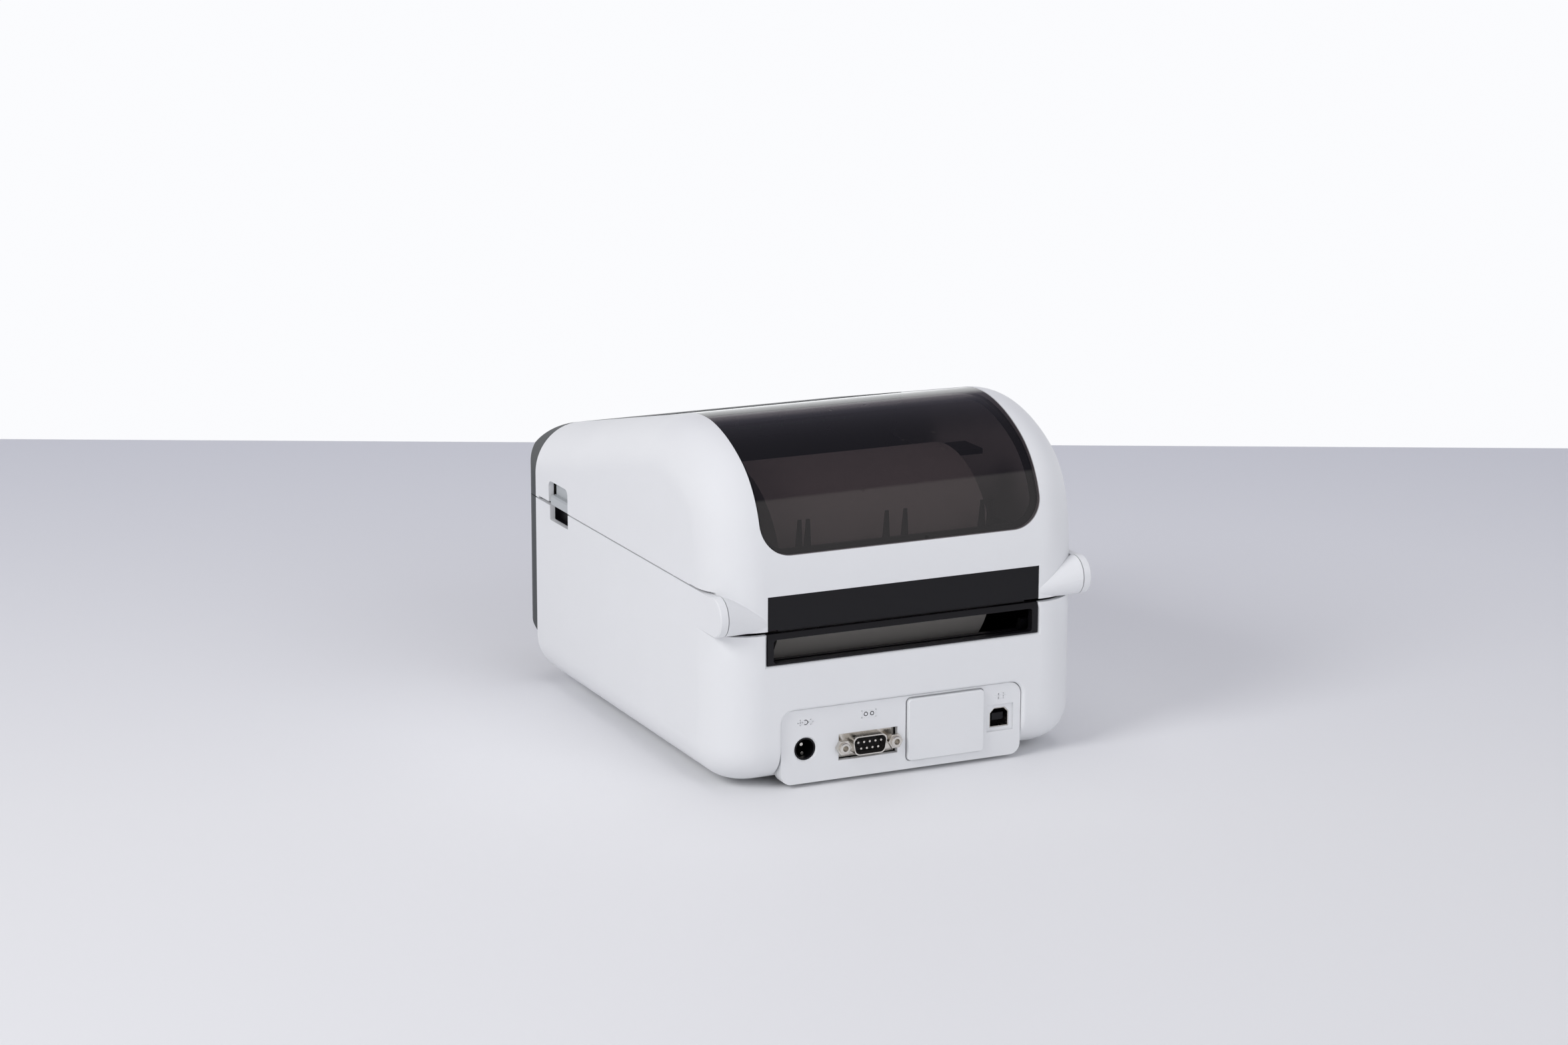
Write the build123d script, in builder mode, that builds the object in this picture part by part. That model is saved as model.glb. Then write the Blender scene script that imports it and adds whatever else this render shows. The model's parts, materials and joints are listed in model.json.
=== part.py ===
from build123d import *
from math import atan2, cos, hypot, pi, radians, sin, sqrt, tan
import os

# Desktop direct-thermal label printer with a hinged cover, as separate pieces.
# Frame: millimetres, +Z up, the label exit faces -Y, the connectors face +Y.
# The origin is on the surface the printer stands on, under the middle of the body.

os.makedirs("parts", exist_ok=True)

# ---------------------------------------------------------------- driving dimensions
width = 180.0                   # over the side faces and hinge caps
half_width = width / 2
front_y = -113.0                # face of the dark front
seam_y = -98.6                  # front edge of the white sides
rear_y = 108.4                  # flat rear face
case_bottom = 3.2               # underside of the case above the table
base_top = 88.8                 # top edge of the lower case
cover_bottom = 89.4             # bottom edge of the cover sides
wall = 2.6                      # white shells
shoulder_radius = 22.0          # shoulders and rear corners
bottom_round = 17.0             # lower rims of the case
toe_round = 20.0                # lower front of the white sides
band_half = half_width - shoulder_radius
slope = 13.0                    # fall of the cover top towards the front, degrees

hinge_y, hinge_z, boss_radius = 104.2, 80.6, 8.8
cap_thickness = 3.6             # hinge end caps on the lower case
cap_inner_x = half_width - cap_thickness
fairing_x = cap_inner_x - 0.4   # big end of the cover's hinge fairing
hinge_pin_radius = 3.0

slot_half = 66.0                # dark slot pieces across the rear
slab_top, slab_bottom = 87.6, 72.5
frame_top, frame_bottom = 70.9, 57.2
window_bottom, window_corner = 104.7, 14.0
window_front_y = -30.0

panel_half, panel_top, panel_y = 58.7, 35.3, 106.6
chin_bottom, chin_front = 1.8, 99.4

roll_y, roll_z, roll_radius, roll_half = 45.5, 84.0, 47.0, 51.5
core_outer, core_inner = 14.1, 12.7
tub_radius, tub_wall, tub_half = 58.0, 2.4, 77.0
deck_z = 84.0                   # flat floor between the roll tub and the print frame

platen_y, platen_z, platen_radius, platen_half = -92.0, 84.0, 8.5, 56.0
shaft_radius = 3.0
platen_gear_radius, idler_small_radius, idler_big_radius, pinion_radius = 11.0, 9.0, 16.0, 6.0
gear_gap = 0.2                  # between neighbouring gear tips
idler_axle_radius, idler_bore = 2.0, 2.06
motor_y, motor_z, motor_size = -66.0, 52.0, 42.0
gear_x = 74.0                   # start of the gear stack
gear_width = 4.0

latch_y, latch_z = -54.3, 99.0  # latch shaft in the cover
grip_rear_y, grip_front_y = -59.0, -82.2
web_z = 92.6                    # underside of the label strip over the platen
web_thickness = 0.25


def save(part, name):
    """Label a finished piece and write its STEP file."""
    part.label = name
    export_step(part, f"parts/{name}.step")


# ---------------------------------------------------------------- shared outlines
arc_start_z = 86.0              # the rear face is flat up to here
crown_arcs = [(120.0, 15), (44.0, 43), (82.0, 19), (62.0, 26)]   # radius, turn in degrees


def crown_end():
    """Where the arcs over the top run out into the straight slope."""
    y, z, turned = rear_y, arc_start_z, 0
    for radius, turn in crown_arcs:
        y -= radius * (cos(radians(turned)) - cos(radians(turned + turn)))
        z += radius * (sin(radians(turned + turn)) - sin(radians(turned)))
        turned += turn
    return y, z


crown_y, crown_z = crown_end()
slope_z = crown_z - (crown_y - seam_y) * tan(radians(slope))    # top line over the seam


def top_z(y):
    """Height of the sloping top line at a place along Y."""
    return slope_z + (y - seam_y) * tan(radians(slope))


def cover_outline(inset, foot_z, front):
    """Side view of the cover as a closed face, inset from the outer skin."""
    with BuildSketch(Plane.YZ) as outline:
        with BuildLine():
            foot = Line((rear_y - inset, foot_z), (rear_y - inset, arc_start_z))
            crown = foot
            for radius, turn in crown_arcs:
                crown = JernArc(crown @ 1, crown % 1, radius - inset, turn)
            drop = (crown @ 1).X - front
            end = (front, (crown @ 1).Y - drop * tan(radians(slope)))
            Line(crown @ 1, end)
            Polyline(end, (front, foot_z), foot @ 0)
        make_face()
    return outline.sketch


def front_outline(inset, top_limit, bottom_limit, rear):
    """Side view of the dark front, from the slope over the corner to the toe."""
    corner_radius, toe_radius, toe_z = 16.5 - inset, 19.2, 42.0
    fall = inset / cos(radians(slope))
    with BuildSketch(Plane.YZ) as outline:
        with BuildLine():
            top = Line((rear, top_z(rear) - fall), (front_y + inset, top_z(front_y + inset) - fall))
            face = Line(top @ 1, (front_y + inset, toe_z))
            toe = JernArc(face @ 1, (0, -1), toe_radius - inset, 74)
            Polyline(toe @ 1, (rear, (toe @ 1).Y), top @ 0)
        make_face()
        corner = outline.vertices().sort_by(Axis.Y).sort_by_distance((front_y + inset, 119))[0]
        fillet(corner, corner_radius)
        with Locations(((front_y + rear) / 2, (top_limit + bottom_limit) / 2)):
            Rectangle(40, top_limit - bottom_limit, mode=Mode.INTERSECT)
    return outline.sketch


def gear_sketch(tip_radius, teeth, bore, depth=1.3):
    """Face of a spur gear with trapezoid teeth."""
    root = tip_radius - depth
    pitch = 2 * pi * tip_radius / teeth
    with BuildSketch() as face:
        Circle(root)
        with PolarLocations(root - 0.2, teeth):
            with Locations((depth / 2 + 0.1, 0)):
                Trapezoid(pitch * 0.62, depth + 0.2, 72, rotation=-90)
        Circle(tip_radius, mode=Mode.INTERSECT)
        Circle(bore, mode=Mode.SUBTRACT)
    return face.sketch


def box_between(x, y, z, mode=Mode.ADD):
    """A box in the current part, given by its limits along X, Y and Z."""
    with Locations(((x[0] + x[1]) / 2, (y[0] + y[1]) / 2, (z[0] + z[1]) / 2)):
        Box(x[1] - x[0], y[1] - y[0], z[1] - z[0], mode=mode)


def rod(radius, x, y, z, mode=Mode.ADD):
    """A round bar along X in the current part."""
    with Locations(Location(((x[0] + x[1]) / 2, y, z), (0, 90, 0))):
        Cylinder(radius, x[1] - x[0], mode=mode)


def spread(side, near, far):
    """Limits along X of a piece between two distances from the middle, on one side."""
    return (near, far) if side > 0 else (-far, -near)


def case_block(inset, top):
    """The lower case as a solid block with its rounded corners, inset from the skin."""
    front, rear, floor_z = seam_y + inset, rear_y - inset, case_bottom + inset
    with BuildPart() as block:
        box_between((-half_width + inset, half_width - inset), (front, rear), (floor_z, top))
        fillet(block.edges().filter_by(Axis.Z).group_by(Axis.Y)[-1], shoulder_radius - inset)
        floor = block.faces().filter_by(Axis.Z).sort_by(Axis.Z)[0]
        fillet(floor.edges().filter_by(lambda e: e.center().Y > front + 1), bottom_round - inset)
        with BuildSketch(Plane.YZ) as side_view:
            with Locations(((front + rear) / 2, (floor_z + top) / 2)):
                Rectangle(rear - front, top - floor_z)
            toe = side_view.vertices().group_by(Axis.Y)[0].sort_by_distance((front, floor_z))[0]
            fillet(toe, toe_round - inset)
        extrude(amount=half_width, both=True, mode=Mode.INTERSECT)
    return block.part


def cover_block(inset, foot_z, front):
    """The cover as a solid block with rounded shoulders, inset from the skin."""
    side_x = half_width - inset
    with BuildPart() as block:
        extrude(cover_outline(inset, foot_z, front), amount=side_x, both=True)
        rims = block.edges().filter_by(lambda e: abs(abs(e.center().X) - side_x) < 0.01)
        rims = rims.filter_by(lambda e: e.center().Z > foot_z + 0.1 and e.center().Y > seam_y + 30)
        fillet(rims, shoulder_radius - inset)
    return block.part


# ---------------------------------------------------------------- lower case (white)
case_skin = case_block(0, base_top)
case_hollow = case_block(wall, base_top + 12)
plate_half, plate_front, plate_rear = 54.0, -74.0, 88.0
plate_screws = [(x, y) for x in (-51.0, 51.0) for y in (-62.0, 7.0, 76.0)]
foot_spots = [(x, y) for x in (-64.0, 64.0) for y in (-70.0, 80.0)]
board_posts = [(x, y) for x in (-70.0, 70.0) for y in (30.0, 84.0)]
pocket_y, pocket_z = (-80.8, -58.8), (82.0, base_top + 1)
grip_gap = (-95.0, -81.2, 90.4)     # wider black gap in front of the finger lever

with BuildPart() as lower_case:
    add(case_skin)
    add(case_hollow, mode=Mode.SUBTRACT)
    # rear: low wall, notch for the paper slot, opening for the connector panel
    box_between((-cap_inner_x, cap_inner_x), (91, 120), (frame_top, 110), mode=Mode.SUBTRACT)
    box_between((-slot_half - 0.2, slot_half + 0.2), (100, 120), (frame_bottom - 0.3, 110),
                mode=Mode.SUBTRACT)
    slot_lip = lower_case.edges().filter_by(lambda e: abs(e.center().Y - rear_y) < 0.01)
    chamfer(slot_lip.filter_by(lambda e: abs(e.center().X) < slot_half + 1
                               and e.center().Z > frame_bottom - 1), 1.0)
    with BuildSketch(Plane.XZ.offset(-rear_y - 1)) as panel_opening:
        with Locations((0, panel_top / 2 - 10)):
            Rectangle(2 * panel_half + 0.6, panel_top + 20.6)
        fillet(panel_opening.vertices().group_by(Axis.Y)[-1], 6)
    extrude(amount=rear_y + 1 - chin_front, mode=Mode.SUBTRACT)
    opening_rim = lower_case.edges().filter_by(lambda e: abs(e.center().Y - rear_y) < 0.01)
    opening_rim = opening_rim.filter_by(lambda e: abs(e.center().X) < panel_half + 1
                                        and 20.5 < e.center().Z < panel_top + 1)
    fillet(opening_rim, 1.4)
    # front: open behind the dark front for the platen and its gears
    box_between((-85, 85), (seam_y - 1, seam_y + 8), (44, 110), mode=Mode.SUBTRACT)
    # floor opening with a rebate for the bottom plate
    box_between((-plate_half + 6, plate_half - 6), (plate_front + 6, plate_rear - 3), (0, 7),
                mode=Mode.SUBTRACT)
    box_between((-plate_half, plate_half), (plate_front, plate_rear), (0, case_bottom + 1.6),
                mode=Mode.SUBTRACT)
    with Locations(*[(x, y, case_bottom + 3.4) for x, y in plate_screws]):
        Cylinder(2.9, 3.6)
    with Locations(*[(x, y, case_bottom + 3.2) for x, y in plate_screws]):
        Cylinder(1.3, 3.8, mode=Mode.SUBTRACT)
    with Locations(*[(x, y, 7.4) for x, y in board_posts]):
        Cylinder(3, 3.2)
    with Locations(*[(x, y, case_bottom + 0.5) for x, y in foot_spots]):
        Cylinder(5.8, 1.0, mode=Mode.SUBTRACT)
    # windows of the two finger pockets
    for side in (-1, 1):
        box_between(spread(side, 86, 92), pocket_y, pocket_z, mode=Mode.SUBTRACT)
    # tongues and round end caps of the hinge
    for side in (-1, 1):
        box_between(spread(side, cap_inner_x, half_width), (76, hinge_y), (hinge_z - boss_radius, base_top))
        rod(boss_radius, spread(side, cap_inner_x, half_width), hinge_y, hinge_z)
    rims = lower_case.edges().filter_by(GeomType.CIRCLE)
    rims = rims.filter_by(lambda e: abs(e.radius - boss_radius) < 0.01
                          and abs(abs(e.center().X) - half_width) < 0.01)
    chamfer(rims, 0.5)
    for side in (-1, 1):
        rod(hinge_pin_radius + 0.02, spread(side, cap_inner_x - 1, half_width - 1.4), hinge_y, hinge_z,
            mode=Mode.SUBTRACT)
save(lower_case.part, "lower_case")

with BuildPart() as bottom_plate:
    box_between((-plate_half + 0.3, plate_half - 0.3), (plate_front + 0.3, plate_rear - 0.3),
                (case_bottom + 0.1, case_bottom + 1.5))
    fillet(bottom_plate.edges().filter_by(Axis.Z), 3)
    with BuildSketch(Plane.XY):
        with Locations(*plate_screws):
            Circle(1.7)
        with Locations((0, 30)):
            with GridLocations(44, 8, 2, 6):
                SlotOverall(34, 3)
    extrude(amount=8, mode=Mode.SUBTRACT)
save(bottom_plate.part, "bottom_plate")

with BuildPart() as plate_screw_set:
    with Locations(*[(x, y, case_bottom - 0.5) for x, y in plate_screws]):
        Cylinder(2.8, 1.2)
    with Locations(*[(x, y, case_bottom + 2.2) for x, y in plate_screws]):
        Cylinder(1.25, 4.2)
    with Locations(*[(x, y, case_bottom - 0.8) for x, y in plate_screws]):
        Box(3.2, 0.7, 0.6, mode=Mode.SUBTRACT)
        Box(0.7, 3.2, 0.6, mode=Mode.SUBTRACT)
save(plate_screw_set.part, "bottom_screws")

with BuildPart() as feet:
    with Locations(*[(x, y, (case_bottom + 0.9) / 2) for x, y in foot_spots]):
        Cylinder(5.6, case_bottom + 0.9)
    fillet(feet.edges().filter_by(GeomType.CIRCLE).group_by(Axis.Z)[0], 1.0)
save(feet.part, "rubber_feet")

with BuildPart() as hinge_pins:
    for side in (-1, 1):
        rod(hinge_pin_radius, spread(side, 74, half_width - 1.5), hinge_y, hinge_z)
save(hinge_pins.part, "hinge_pins")


# ---------------------------------------------------------------- rear connectors
dc_x, dc_z, dc_hole = 47.0, 17.2, 5.1
serial_x, serial_z, jack_pitch = 16.7, 16.0, 24.99
usb_x, usb_z = -48.5, 19.6
option_x, option_z, option_w, option_h = -20.9, 19.9, 37.6, 28.2
plate_inner_y = panel_y - 2.5
chin_corner = 5.0


def usb_outline(grow):
    """Face of the square data socket: two cut corners at the top."""
    with BuildSketch() as face:
        with Locations((usb_x, usb_z)):
            Rectangle(9.3 + 2 * grow, 8.7 + 2 * grow)
        chamfer(face.vertices().group_by(Axis.Y)[-1], 2.1 + grow / 2)
    return face.sketch


with BuildPart() as connector_panel:
    with BuildSketch(Plane.XZ.offset(-panel_y)) as face:
        with Locations((0, (panel_top + chin_bottom) / 2)):
            Rectangle(2 * panel_half, panel_top - chin_bottom)
        fillet(face.vertices().group_by(Axis.Y)[-1], 5.7)
        fillet(face.vertices().group_by(Axis.Y)[0], chin_corner)
    extrude(amount=2.5)
    back = Plane.XZ.offset(-panel_y)
    # chin that closes the gap under the rounded rim of the case
    with BuildSketch(back):
        with Locations((0, chin_bottom + 9)):
            chin = Rectangle(2 * panel_half, 18)
            fillet(chin.vertices().group_by(Axis.Y)[0], chin_corner)
        with Locations((0, chin_bottom + 2.4 + 9)):
            inner = Rectangle(2 * panel_half - 4.8, 18, mode=Mode.SUBTRACT)
    extrude(amount=panel_y - chin_front - 0.3)
    with BuildSketch(back):
        with Locations((dc_x, dc_z)):
            Circle(dc_hole)
        with Locations((serial_x, serial_z)):
            Rectangle(28.7, 11.9)
        add(usb_outline(0.1))
    extrude(amount=5, mode=Mode.SUBTRACT)
    with BuildSketch(back):
        with Locations((option_x, option_z)):
            RectangleRounded(option_w + 1.0, option_h + 1.0, 2.3)
            RectangleRounded(option_w - 2.0, option_h - 2.0, 1.0, mode=Mode.SUBTRACT)
    extrude(amount=1.0, mode=Mode.SUBTRACT)
    with BuildSketch(back):
        with Locations((usb_x, usb_z)):
            Rectangle(13.2, 12.2)
    extrude(amount=1.0, mode=Mode.SUBTRACT)
    dc_rim = connector_panel.edges().filter_by(GeomType.CIRCLE)
    dc_rim = dc_rim.filter_by(lambda e: abs(e.radius - dc_hole) < 0.01).sort_by(Axis.Y)[-1]
    chamfer(dc_rim, 0.6)
save(connector_panel.part, "connector_panel")

with BuildPart() as option_cover:
    with BuildSketch(Plane.XZ.offset(-panel_y)):
        with Locations((option_x, option_z)):
            RectangleRounded(option_w, option_h, 1.8)
    extrude(amount=-1.9)
    fillet(option_cover.faces().sort_by(Axis.Y)[-1].edges(), 0.6)
save(option_cover.part, "option_cover")

board_z, board_rear = 9.0, 99.2
board_top = board_z + 1.6
with BuildPart() as main_board:
    box_between((-76, 76), (20, board_rear), (board_z, board_top))
    chamfer(main_board.edges().filter_by(Axis.Z).group_by(Axis.Y)[-1], 5)
    with Locations(*[(x, y, board_z) for x, y in board_posts]):
        Cylinder(1.7, 6, mode=Mode.SUBTRACT)
save(main_board.part, "main_board")

with BuildPart() as board_parts:
    with Locations(*[(x, 28, board_top + 6) for x in (-58, -44, 44, 58)]):
        Cylinder(5, 12)
    with Locations((-10, 42, board_top + 0.8), (20, 58, board_top + 0.8)):
        Box(16, 16, 1.6)
    with Locations(*[(-60 + 5 * i, 66, board_top + 5) for i in range(5)]):
        Box(1.6, 22, 10)
    box_between((-61, -39), (55, 77), (board_top, board_top + 2))
    with Locations((40, 45, board_top + 4), (62, 45, board_top + 4)):
        Box(14, 12, 8)
    box_between((-30, 0), (93, 98), (board_top, board_top + 8))
save(board_parts.part, "board_components")

jack_y = (88.0, plate_inner_y - 0.2)
with BuildPart() as dc_jack:
    box_between((dc_x - 6.5, dc_x + 6.5), jack_y, (board_top, board_top + 13))
    mouth = Plane.XZ.offset(-panel_y + 0.8)
    with BuildSketch(mouth):
        with Locations((dc_x, dc_z)):
            Circle(4.95)
    extrude(amount=3)
    with BuildSketch(mouth):
        with Locations((dc_x, dc_z)):
            Circle(4.3)
    extrude(amount=13, mode=Mode.SUBTRACT)
save(dc_jack.part, "dc_jack")

dc_pin_spots = [(dc_x - 0.2, dc_z + 0.9), (dc_x - 0.6, dc_z - 3.2), (dc_x + 3.1, dc_z - 1.0)]
with BuildPart() as dc_pins:
    with BuildSketch(Plane.XZ.offset(-92.8)):
        with Locations(*dc_pin_spots):
            Circle(0.75)
    extrude(amount=-9)
save(dc_pins.part, "dc_jack_pins")


def d_outline(plane, long_side, height, tilt=10):
    """Face of a nine-way D connector: a trapezoid with round corners."""
    with BuildSketch(plane) as face:
        with Locations((serial_x, serial_z)):
            Trapezoid(long_side, height, 90 - tilt, rotation=180)
        fillet(face.vertices(), 2.4)
    return face.sketch


flange_y = panel_y - 4.2
jack_front = panel_y + 3.4
with BuildPart() as serial_shell:
    box_between((serial_x - 14.1, serial_x + 14.1), (flange_y, flange_y + 0.8),
                (serial_z - 5.7, serial_z + 5.7))
    add(extrude(d_outline(Plane.XZ.offset(-flange_y), 17.3, 8.6), amount=-6.4))
    add(extrude(d_outline(Plane.XZ.offset(-flange_y + 2), 16.3, 7.6), amount=-12),
        mode=Mode.SUBTRACT)
    with BuildSketch(Plane.XZ.offset(-flange_y + 2)):
        with Locations((serial_x - jack_pitch / 2, serial_z), (serial_x + jack_pitch / 2, serial_z)):
            Circle(1.6)
    extrude(amount=-5, mode=Mode.SUBTRACT)
save(serial_shell.part, "serial_shell")

with BuildPart() as serial_insulator:
    box_between((serial_x - 13.6, serial_x + 13.6), (93, flange_y - 0.1), (board_top, serial_z + 5.6))
    add(extrude(d_outline(Plane.XZ.offset(-flange_y + 0.2), 16.1, 7.4), amount=-1.6))
save(serial_insulator.part, "serial_insulator")

pin_pitch, row_gap = 2.77, 2.84
upper_pins = [(serial_x + pin_pitch * (i - 2), serial_z + row_gap / 2) for i in range(5)]
lower_pins = [(serial_x + pin_pitch * (i - 1.5), serial_z - row_gap / 2) for i in range(4)]
with BuildPart() as serial_pins:
    with BuildSketch(Plane.XZ.offset(-flange_y - 1.4)):
        with Locations(*(upper_pins + lower_pins)):
            Circle(0.5)
    extrude(amount=-4.4)
save(serial_pins.part, "serial_pins")

with BuildPart() as jack_screws:
    jack_spots = [(serial_x - jack_pitch / 2, serial_z), (serial_x + jack_pitch / 2, serial_z)]
    with BuildSketch(Plane.XZ.offset(-flange_y - 0.8)):
        with Locations(*jack_spots):
            Circle(1.55)
    extrude(amount=-3.6)
    with BuildSketch(Plane.XZ.offset(-panel_y - 0.05)):
        with Locations(*jack_spots):
            RegularPolygon(3.5, 6)
    extrude(amount=-2.1)
    with BuildSketch(Plane.XZ.offset(-panel_y - 2)):
        with Locations(*jack_spots):
            Circle(2.5)
    extrude(amount=panel_y + 2 - jack_front)
    chamfer(jack_screws.edges().filter_by(GeomType.CIRCLE).group_by(Axis.Y)[-1], 0.3)
    with BuildSketch(Plane.XZ.offset(-jack_front - 0.5)):
        with Locations(*jack_spots):
            Circle(1.3)
    extrude(amount=4.9, mode=Mode.SUBTRACT)
save(jack_screws.part, "jack_screws")

with BuildPart() as usb_shell:
    add(extrude(Plane.XZ.offset(1.2 - panel_y) * usb_outline(0), amount=panel_y - 91.2))
    add(extrude(Plane.XZ.offset(-panel_y) * usb_outline(-0.3), amount=panel_y - 91), mode=Mode.SUBTRACT)
save(usb_shell.part, "usb_shell")

with BuildPart() as usb_insulator:
    add(extrude(Plane.XZ.offset(-96) * usb_outline(-0.35), amount=4.9))
    box_between((usb_x - 2.8, usb_x + 2.8), (96, 104), (usb_z - 1.6, usb_z + 1.6))
save(usb_insulator.part, "usb_insulator")

# ---------------------------------------------------------------- rear slot frame (black)
with BuildPart() as rear_slot_frame:
    box_between((-slot_half + 0.1, slot_half - 0.1), (104.4, rear_y - 0.3), (frame_bottom, frame_top))
    top_edge = rear_slot_frame.edges().filter_by(Axis.X).sort_by(Axis.Z)[-2:].sort_by(Axis.Y)[-1]
    chamfer(top_edge, 2.3, 1.2)
    with BuildSketch(Plane.XZ.offset(-rear_y)):
        with Locations((0, (68.4 + frame_bottom + 0.7) / 2)):
            RectangleRounded(126, 68.4 - frame_bottom - 0.7, 1.4)
    extrude(amount=8, mode=Mode.SUBTRACT)
save(rear_slot_frame.part, "rear_slot_frame")

# ---------------------------------------------------------------- dark lower front
front_half, skin = half_width - 0.4, 2.4
upright_radius = 9.0            # upright front edges
shoulder_plane = Plane(origin=(0, seam_y, slope_z), x_dir=(1, 0, 0),
                       z_dir=(0, cos(radians(slope)), sin(radians(slope))))


def front_block(inset, top_limit, bottom_limit, rear):
    """A solid piece of the dark front: side view, upright edges and shoulders, all inset."""
    half = front_half - inset
    with BuildPart() as block:
        extrude(front_outline(inset, top_limit, bottom_limit, rear), amount=half, both=True)
        with BuildSketch(Plane.XY) as plan:
            with Locations((0, front_y + inset + 30)):
                Rectangle(2 * half, 60)
            fillet(plan.vertices().group_by(Axis.Y)[0], upright_radius - inset)
        extrude(amount=150, mode=Mode.INTERSECT)
        with BuildSketch(shoulder_plane) as shoulders:
            with Locations((0, inset + 70)):
                Rectangle(2 * half, 140)
            fillet(shoulders.vertices().group_by(Axis.Y)[0], half - band_half)
        extrude(amount=60, both=True, mode=Mode.INTERSECT)
    return block.part


with BuildPart() as lower_front_panel:
    add(front_block(0, base_top, 0, seam_y - 0.3))
    add(front_block(skin, base_top + 20, 0, seam_y + 8), mode=Mode.SUBTRACT)
save(lower_front_panel.part, "lower_front_panel")

# ---------------------------------------------------------------- media tub (black)
lip_x = (half_width - wall - 1.5, half_width - wall - 0.3)      # black lip behind the parting line
with BuildPart() as media_tub:
    with BuildSketch(Plane.YZ):
        with Locations((roll_y, roll_z)):
            Circle(tub_radius + tub_wall)
            Circle(tub_radius, mode=Mode.SUBTRACT)
        with Locations((roll_y, roll_z + 40)):
            Rectangle(140, 80, mode=Mode.SUBTRACT)
        with Locations((roll_y + 50, 102)):
            Rectangle(80, 80, mode=Mode.SUBTRACT)
        with Locations((-35, deck_z - tub_wall / 2)):
            Rectangle(42, tub_wall)
    extrude(amount=tub_half, both=True)
    with BuildSketch(Plane.YZ.offset(tub_half - tub_wall)):
        with Locations((roll_y, roll_z)):
            Circle(tub_radius + tub_wall)
        with Locations((roll_y, roll_z + 40)):
            Rectangle(140, 80, mode=Mode.SUBTRACT)
        with Locations((16, 84.6)):
            Rectangle(144, 6)
        with Locations((roll_y + 63, 90)):
            Rectangle(41, 48, mode=Mode.SUBTRACT)
    extrude(amount=tub_wall)
    mirror(about=Plane.YZ)
    for side in (-1, 1):
        box_between(spread(side, tub_half - 0.5, half_width - wall - 0.3), (-46, 75), (85.6, 87.6))
        box_between(spread(side, *lip_x), (-46, 75), (85.6, base_top + 1.2))
    # paper from the rear slot comes in over this edge
    box_between((-61, 61), (80, 120), (57, 90), mode=Mode.SUBTRACT)
    with Locations((0, roll_y, 30.2)):
        Cylinder(2.5, 8.8)
save(media_tub.part, "media_tub")

# ---------------------------------------------------------------- print frame and tear bar
lip_y = (-105.3, -103.0)
with BuildPart() as print_frame:
    for side in (-1, 1):
        box_between(spread(side, 60, 63), (lip_y[0], -56.4), (74, 90))
        box_between(spread(side, 60, 63), (-94, -89.4), (17, 74))
    box_between((-60, 60), lip_y, (74, base_top))
    box_between((-60, 60), (-79, -56.4), (76, 79))
    rod(5.05, (-70, 70), platen_y, platen_z, mode=Mode.SUBTRACT)
save(print_frame.part, "print_frame")

with BuildPart() as tear_bar:
    box_between((-57, 57), (lip_y[0] - 1.2, lip_y[0] - 0.05), (80, 91.6))
    chamfer(tear_bar.edges().filter_by(Axis.X).sort_by(Axis.Z)[-2:].sort_by(Axis.Y)[-1], 1.0, 0.8)
save(tear_bar.part, "tear_bar")

with BuildPart() as platen_bushings:
    for side in (-1, 1):
        rod(5.0, spread(side, 60, 63), platen_y, platen_z)
        rod(6.2, spread(side, 63.05, 64.5), platen_y, platen_z)
        rod(5.0, spread(side, 62, 64), platen_y, platen_z)
    rod(shaft_radius + 0.05, (-80, 80), platen_y, platen_z, mode=Mode.SUBTRACT)
save(platen_bushings.part, "platen_bushings")

catch_y, catch_z = latch_y - 15, 86.0
with BuildPart() as latch_pins:
    for side in (-1, 1):
        rod(2, spread(side, 63.05, 72), catch_y, catch_z)
save(latch_pins.part, "latch_pins")

with BuildPart() as finger_pockets:
    for side in (-1, 1):
        box_between(spread(side, 83.6, half_width - wall - 0.05), (pocket_y[0] - 1.8, pocket_y[1] + 1.7),
                    (79.6, base_top - 0.2))
        box_between(spread(side, *lip_x), (grip_gap[0] - 0.6, pocket_y[0] - 1), (79.6, base_top - 0.2))
        box_between(spread(side, *lip_x), (grip_gap[0] - 0.6, grip_front_y - 0.9), (base_top - 0.3, 91.2))
        box_between(spread(side, 84.8, 90), pocket_y, (pocket_z[0], 92), mode=Mode.SUBTRACT)
save(finger_pockets.part, "finger_pockets")

with BuildPart() as sensor_rail:
    rod(1.5, (-59.9, 59.9), -67.0, 84.0)
save(sensor_rail.part, "sensor_rail")

with BuildPart() as sensor_carriage:
    box_between((-7, 7), (-73, -61), (80, 91.4))
    chamfer(sensor_carriage.edges().filter_by(Axis.X).group_by(Axis.Z)[-1], 1.5)
    rod(1.58, (-8, 8), -67.0, 84.0, mode=Mode.SUBTRACT)
save(sensor_carriage.part, "sensor_carriage")

# ---------------------------------------------------------------- platen and drive
with BuildPart() as platen_shaft:
    rod(shaft_radius, (-67, gear_x + 9.6), platen_y, platen_z)
save(platen_shaft.part, "platen_shaft")

with BuildPart() as platen_roller:
    rod(platen_radius, (-platen_half, platen_half), platen_y, platen_z)
    rod(shaft_radius + 0.02, (-70, 70), platen_y, platen_z, mode=Mode.SUBTRACT)
save(platen_roller.part, "platen_roller")


def gear_on_x(tip_radius, teeth, bore, x, y, z, phase=0.0):
    """A spur gear across X, from x to x + gear_width, centred at y, z."""
    plane = Plane(origin=(x, y, z), x_dir=(0, 1, 0), z_dir=(1, 0, 0)).rotated((0, 0, phase))
    return extrude(plane * gear_sketch(tip_radius, teeth, bore), amount=gear_width, dir=(1, 0, 0))


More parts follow.
